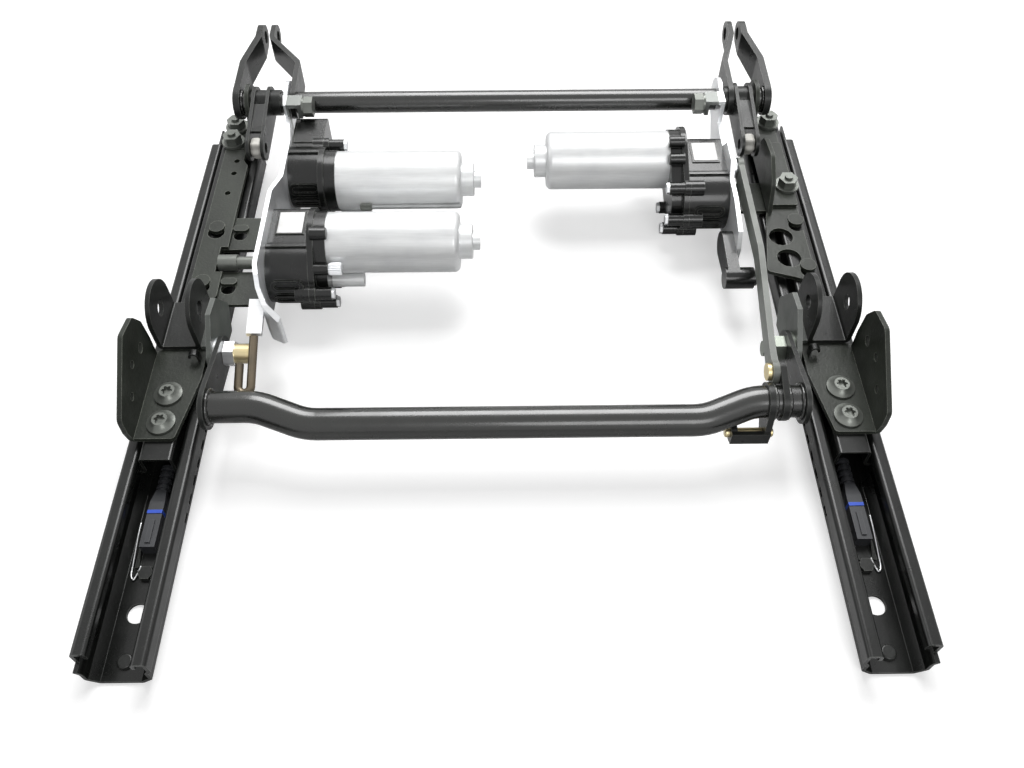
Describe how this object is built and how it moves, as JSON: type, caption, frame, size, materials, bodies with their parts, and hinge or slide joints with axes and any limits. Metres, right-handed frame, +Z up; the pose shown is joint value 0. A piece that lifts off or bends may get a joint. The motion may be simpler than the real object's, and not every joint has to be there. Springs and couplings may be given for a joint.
{
  "type": "seat frame",
  "caption": "Powered vehicle seat base frame: channel rails, torque tubes with lift arms, gear units and motors, on an adjustable sliding track.",
  "frame": {"origin": "on the floor plane, midway between the rails and midway along the whole frame", "axes": "+X across the frame to its right side seen from the front, +Y from the front ends of the rails to the rear clevises, +Z up"},
  "size_m": [0.464, 0.512, 0.0816],
  "materials": {
    "rail_coat": "satin black rail coating",
    "tube_coat": "gloss black coating",
    "plate_coat": "satin black plate coating",
    "zinc": "bright zinc plating",
    "yellow_zinc": "yellow passivated zinc",
    "bolt_coat": "black phosphated steel",
    "case_plastic": "moulded black plastic",
    "plug_plastic": "moulded dark grey plastic",
    "seal_blue": "blue silicone",
    "boot_rubber": "black rubber",
    "motor_zinc": "zinc-plated drawn steel",
    "glide_plastic": "natural plastic"
  },
  "bodies": {
    "floor_rails": {"lower_rail_left": "rail_coat", "lower_rail_right": "rail_coat", "floor_fasteners": "bolt_coat", "plug_bodies": "plug_plastic", "plug_seals": "seal_blue", "plug_boots": "boot_rubber", "plug_clips": "zinc", "lead_nuts": "glide_plastic"},
    "carriage": {"upper_rail_left": "rail_coat", "upper_rail_right": "rail_coat", "slide_glides": "glide_plastic", "screw_blocks": "glide_plastic", "front_brackets": "plate_coat", "front_bolts": "bolt_coat", "saddle_brackets": "plate_coat", "pivot_plates": "plate_coat", "pivot_washers": "zinc", "pivot_studs": "zinc", "pivot_bush": "yellow_zinc", "rod_hook": "yellow_zinc", "top_plate_left": "plate_coat", "front_plate_right": "plate_coat", "rear_plate_right": "plate_coat", "stud_nuts": "bolt_coat", "carrier_plate_left": "zinc", "carrier_plate_right": "zinc", "carrier_shelves": "plate_coat", "shelf_nuts": "bolt_coat", "clamp_bolts": "zinc", "rear_supports": "plate_coat", "gear_housing_left_front": "case_plastic", "gear_housing_left_rear": "case_plastic", "gear_housing_right": "case_plastic", "gear_cover_left_front": "case_plastic", "gear_cover_left_rear": "case_plastic", "gear_cover_right": "case_plastic", "motor_can_left_front": "motor_zinc", "motor_can_left_rear": "motor_zinc", "motor_can_right": "motor_zinc", "motor_caps": "motor_zinc", "cover_screws": "zinc", "drive_end_sleeve": "case_plastic", "crank_spindle": "zinc"},
    "rear_lift": {"rear_torque_tube": "tube_coat", "tube_sleeves": "rail_coat", "rear_outer_arms": "plate_coat", "rear_inner_arm_left": "plate_coat", "rear_inner_arm_right": "plate_coat", "crank_channels": "plate_coat"},
    "front_lift": {"front_torque_tube": "tube_coat", "front_arms": "plate_coat", "tube_lug": "plate_coat", "rod_plate": "plate_coat", "front_tube_pins": "yellow_zinc"},
    "coupling_rod": {"coupling_rod": "plate_coat"},
    "gear_crank": {"gear_crank": "zinc", "crank_pin": "zinc"},
    "drive_shaft": {"drive_shaft": "zinc"},
    "lead_screw_left": {"lead_screw_left": "motor_zinc"},
    "lead_screw_right": {"lead_screw_right": "motor_zinc"}
  },
  "joints": [
    {"name": "track_slide", "type": "slide", "parent": "floor_rails", "child": "carriage", "axis": [0, 1, 0], "range_m": [-0.2, 0]},
    {"name": "rear_lift_turn", "type": "hinge", "parent": "carriage", "child": "rear_lift", "pos_m": [0, 0.169, 0.062], "axis": [1, 0, 0], "range_deg": [0, 38]},
    {"name": "front_lift_turn", "type": "hinge", "parent": "carriage", "child": "front_lift", "pos_m": [0, -0.054, 0.034], "axis": [1, 0, 0], "range_deg": [-35, 0]},
    {"name": "rod_swing", "type": "hinge", "parent": "front_lift", "child": "coupling_rod", "pos_m": [0.1656, -0.085, 0.05], "axis": [1, 0, 0], "range_deg": [0, 35]},
    {"name": "crank_turn", "type": "hinge", "parent": "carriage", "child": "gear_crank", "pos_m": [0.168, 0.132, 0.036], "axis": [1, 0, 0], "range_deg": [-35, 0]},
    {"name": "shaft_spin", "type": "hinge", "parent": "carriage", "child": "drive_shaft", "pos_m": [-0.18, 0.027, 0.034], "axis": [1, 0, 0], "range_deg": [-6010, 10]},
    {"name": "screw_spin_left", "type": "hinge", "parent": "carriage", "child": "lead_screw_left", "pos_m": [-0.211, 0, 0.0225], "axis": [0, 1, 0], "range_deg": [-6010, 10]},
    {"name": "screw_spin_right", "type": "hinge", "parent": "carriage", "child": "lead_screw_right", "pos_m": [0.211, 0, 0.0225], "axis": [0, 1, 0], "range_deg": [-6010, 10]}
  ],
  "couplings": [
    {"joint": "rod_swing", "follows": "front_lift_turn", "ratio": -1},
    {"joint": "crank_turn", "follows": "front_lift_turn", "ratio": 1},
    {"joint": "shaft_spin", "follows": "track_slide", "rad_per_m": 523.6},
    {"joint": "screw_spin_left", "follows": "track_slide", "rad_per_m": 523.6},
    {"joint": "screw_spin_right", "follows": "track_slide", "rad_per_m": 523.6}
  ]
}
